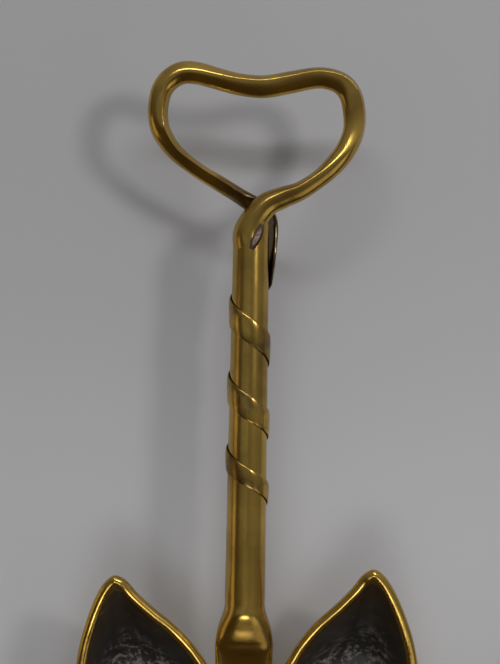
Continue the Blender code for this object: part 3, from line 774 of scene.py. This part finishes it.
def pan_finish(tarnish, handwork):
    """Brass that is rubbed bright on the rim and outside, and sooty with pale flakes inside."""
    material = brass_finish("pan_brass", tarnish, handwork, {"Amount": 0.6, "Cloud Scale": 30.0}, 0.35, 1.0,
                            (0.16, 0.40))
    tree = material.node_tree
    shader = tree.nodes["Principled BSDF"]
    along = add(tree, "Attribute", attribute_name="along").outputs["Fac"]
    place = add(tree, "TexCoord").outputs["Object"]
    ragged = noise(tree, place, 120, 4, 0.6)
    depth = maths(tree, "ADD", along, maths(tree, "MULTIPLY", maths(tree, "SUBTRACT", ragged, 0.5), 0.06))
    inside = between(tree, depth, 0.635, 0.665)
    pale_flakes = maths(tree, "MULTIPLY", low_flake_mask(tree, place, ragged), inside)
    bare = maths(tree, "MULTIPLY", between(tree, noise(tree, place, 95, 3, 0.6), 0.66, 0.72), 0.7)
    soot = soot_colour(tree, place, depth, pale_flakes, bare)
    dulled = shader.inputs["Base Color"].links[0].from_socket
    tree.links.new(blend_colours(tree, inside, dulled, soot), shader.inputs["Base Color"])
    rubbed = shader.inputs["Roughness"].links[0].from_socket
    sooty_rough = add(tree, "Mix", {"Factor": inside, 2: rubbed, 3: 0.48}).outputs[0]
    tree.links.new(maths(tree, "ADD", sooty_rough, maths(tree, "MULTIPLY", pale_flakes, 0.4)),
                   shader.inputs["Roughness"])
    tree.links.new(between(tree, maths(tree, "SUBTRACT", inside, bare), 0, 1, 1.0, 0.25),
                   shader.inputs["Metallic"])
    return material


def filler_finish():
    """Pale pinkish filling, grimy in its cracks, and darkened towards its edge by painted shade down in the
    pit.
    """
    material = bpy.data.materials.new("pale_filling")
    material.use_nodes = True
    tree = material.node_tree
    shader = tree.nodes["Principled BSDF"]
    mapping = add(tree, "TexCoord")
    from_pole = add(tree, "SeparateXYZ", {"Vector": mapping.outputs["UV"]}).outputs["Y"]
    # painted shade: the filling darkens from its lighter centre out to its edge
    edge = between(tree, from_pole, 0.90, 0.74)
    cracks = between(tree, noise(tree, mapping.outputs["Object"], 900, 4, 0.6), 0.45, 0.62)
    cracks_and_painted_shade = maths(tree, "MAXIMUM", edge, maths(tree, "MULTIPLY", cracks, 0.8))
    tree.links.new(blend_colours(tree, cracks_and_painted_shade, FILLING, FILLING_GRIME_AND_PAINTED_SHADE), shader.inputs["Base Color"])
    shader.inputs["Roughness"].default_value = 0.55
    bump = add(tree, "Bump", {"Strength": 1.0, "Distance": 0.0006, "Height": cracks_and_painted_shade})
    tree.links.new(bump.outputs["Normal"], shader.inputs["Normal"])
    return material


def floor_finish():
    material = bpy.data.materials.new("pale_floor")
    material.use_nodes = True
    shader = material.node_tree.nodes["Principled BSDF"]
    shader.inputs["Base Color"].default_value = FLOOR_GREY
    shader.inputs["Roughness"].default_value = 0.9
    return material


# ---- stage --------------------------------------------------------------------------------------
def area_light(name, toward, distance, wide, tall, brightness, colour=(1, 1, 1), aim=0.12, spread=180):
    """A soft light that shines on the handle at the distance aim from its foot.

    Its brightness is that of its face, so a larger light of the same brightness shines more.
    """
    light = bpy.data.lights.new(name, "AREA")
    light.shape = "RECTANGLE"
    light.size = wide
    light.size_y = tall
    light.color = colour
    light.energy = brightness * pi * wide * tall
    light.spread = radians(spread)
    obj = bpy.data.objects.new(name, light)
    bpy.context.scene.collection.objects.link(obj)
    direction = Vector(toward).normalized()
    obj.location = HANDLE @ Vector((0, aim, 0)) + direction * distance
    obj.rotation_euler = direction.to_track_quat("Z", "Y").to_euler()


def set_lights():
    """A lamp for the shadows, and soft lights whose reflections draw the highlights."""
    area_light("lamp_right", (0.58, 0.27, 0.77), 1.3, 0.17, 0.17, 30, (1.0, 0.97, 0.93))
    area_light("window", (0.03, 0.62, 0.78), 1.35, 0.95, 0.13, 10)
    area_light("low_window", (0.60, -0.52, 0.58), 1.4, 0.62, 0.75, 0.6)
    area_light("foot_card", (0.0, -0.36, 0.93), 0.38, 0.56, 0.09, 0.35, aim=0.012, spread=44)
    area_light("side_card", (-0.97, -0.13, 0.24), 0.85, 0.42, 0.30, 0.44, (1.0, 0.82, 0.55))
    area_light("ceiling_card", (-0.33, 0.02, 0.94), 1.5, 0.36, 1.2, 0.16, (0.75, 0.88, 1.0))


def set_room():
    """Soft light from the room: cool from beyond the loop, and warm and dim from beyond the pan."""
    world = bpy.data.worlds.new("room")
    bpy.context.scene.world = world
    world.use_nodes = True
    tree = world.node_tree
    direction = add(tree, "TexCoord").outputs["Generated"]
    toward = add(tree, "VectorMath", {0: direction, 1: (0.30, 0.85, 0.15)}, operation="DOT_PRODUCT")
    share = between(tree, toward.outputs["Value"], -0.3, 0.85)
    colour = blend_colours(tree, share, WARM_ROOM, COOL_ROOM)
    tree.links.new(colour, tree.nodes["Background"].inputs["Color"])
    tree.nodes["Background"].inputs["Strength"].default_value = 1.0


def build_floor():
    deselect()
    bpy.ops.mesh.primitive_plane_add(size=6, location=(0, 0, 0))
    floor = bpy.context.active_object
    floor.name = "floor"
    floor.data.materials.append(floor_finish())


def set_camera():
    """Straight above the handle, and turned a little with it."""
    camera = bpy.data.cameras.new("camera")
    camera.lens = 106.4
    camera.clip_start = 0.05
    viewer = bpy.data.objects.new("camera", camera)
    bpy.context.scene.collection.objects.link(viewer)
    viewer.location = (0.0051, 0.2494, FOOT.z + 0.9)
    viewer.rotation_euler = (0, 0, radians(-1.3))
    bpy.context.scene.camera = viewer
    bpy.context.scene.view_settings.view_transform = "Standard"


# ---- assembly -----------------------------------------------------------------------------------
def fit(piece, node, material):
    """The piece takes its material and its node's place."""
    piece.data.materials.clear()
    piece.data.materials.append(material)
    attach(piece, "root")
    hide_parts(node)


tarnish, handwork = make_tarnish(), make_handwork()
old_brass = brass_finish("old_brass", tarnish, handwork, {"Amount": 0.7}, 0.12, 1.0, (0.16, 0.29))
fit(build_pan(), "pan", pan_finish(tarnish, handwork))
fit(build_stem(), "stem_tube", old_brass)
fit(build_bar(), "loop_bar", bar_finish(tarnish, handwork))
fit(build_filler(), "mouth_filler", filler_finish())
for name, node in (("rivet_upper", "upper_rivet"), ("rivet_lower", "lower_rivet")):
    fit(build_rivet(name, node), node, old_brass)
build_floor()
set_lights()
set_room()
set_camera()
